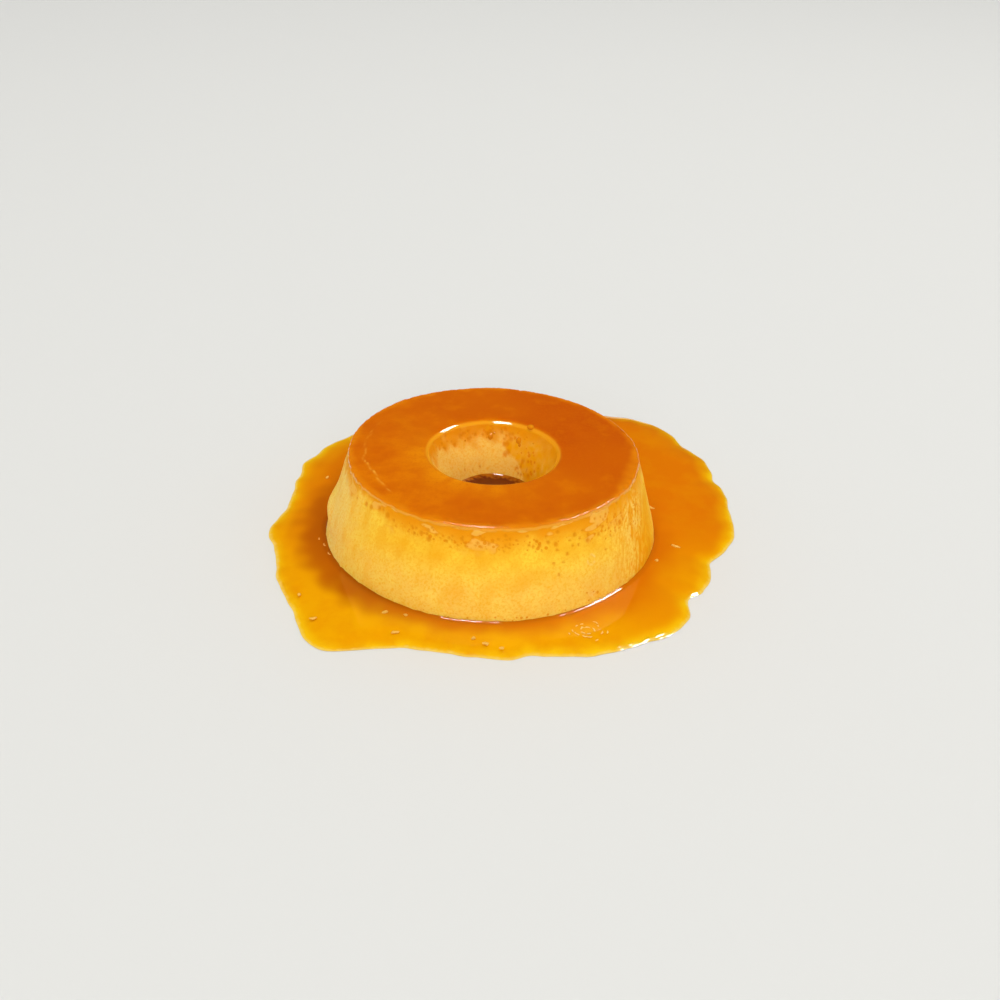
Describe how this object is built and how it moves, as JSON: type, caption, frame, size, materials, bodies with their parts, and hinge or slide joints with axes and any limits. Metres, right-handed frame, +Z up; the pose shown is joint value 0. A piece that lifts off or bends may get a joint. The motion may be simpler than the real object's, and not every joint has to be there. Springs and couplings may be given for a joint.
{
  "type": "ring flan",
  "caption": "Ring flan: tapered baked custard with a caramel layer on top, deep caramel in its centre hole and a puddle of caramel sauce around its foot.",
  "frame": {"origin": "centre of the ring's foot, on the surface the flan stands on", "axes": "+Z up along the ring's axis; -Y is the side nearest the camera in the picture"},
  "size_m": [0.1694, 0.1736, 0.0334],
  "materials": {
    "custard": "moist baked custard, satin",
    "caramel_layer": "wet glossy caramel on custard",
    "deep_caramel": "deep, dark, glossy caramel",
    "caramel_sauce": "clear amber sauce, wet gloss"
  },
  "bodies": {
    "root": {"custard_ring": "custard", "caramel_top": "caramel_layer", "caramel_well": "deep_caramel", "caramel_pool": "caramel_sauce"}
  },
  "joints": []
}
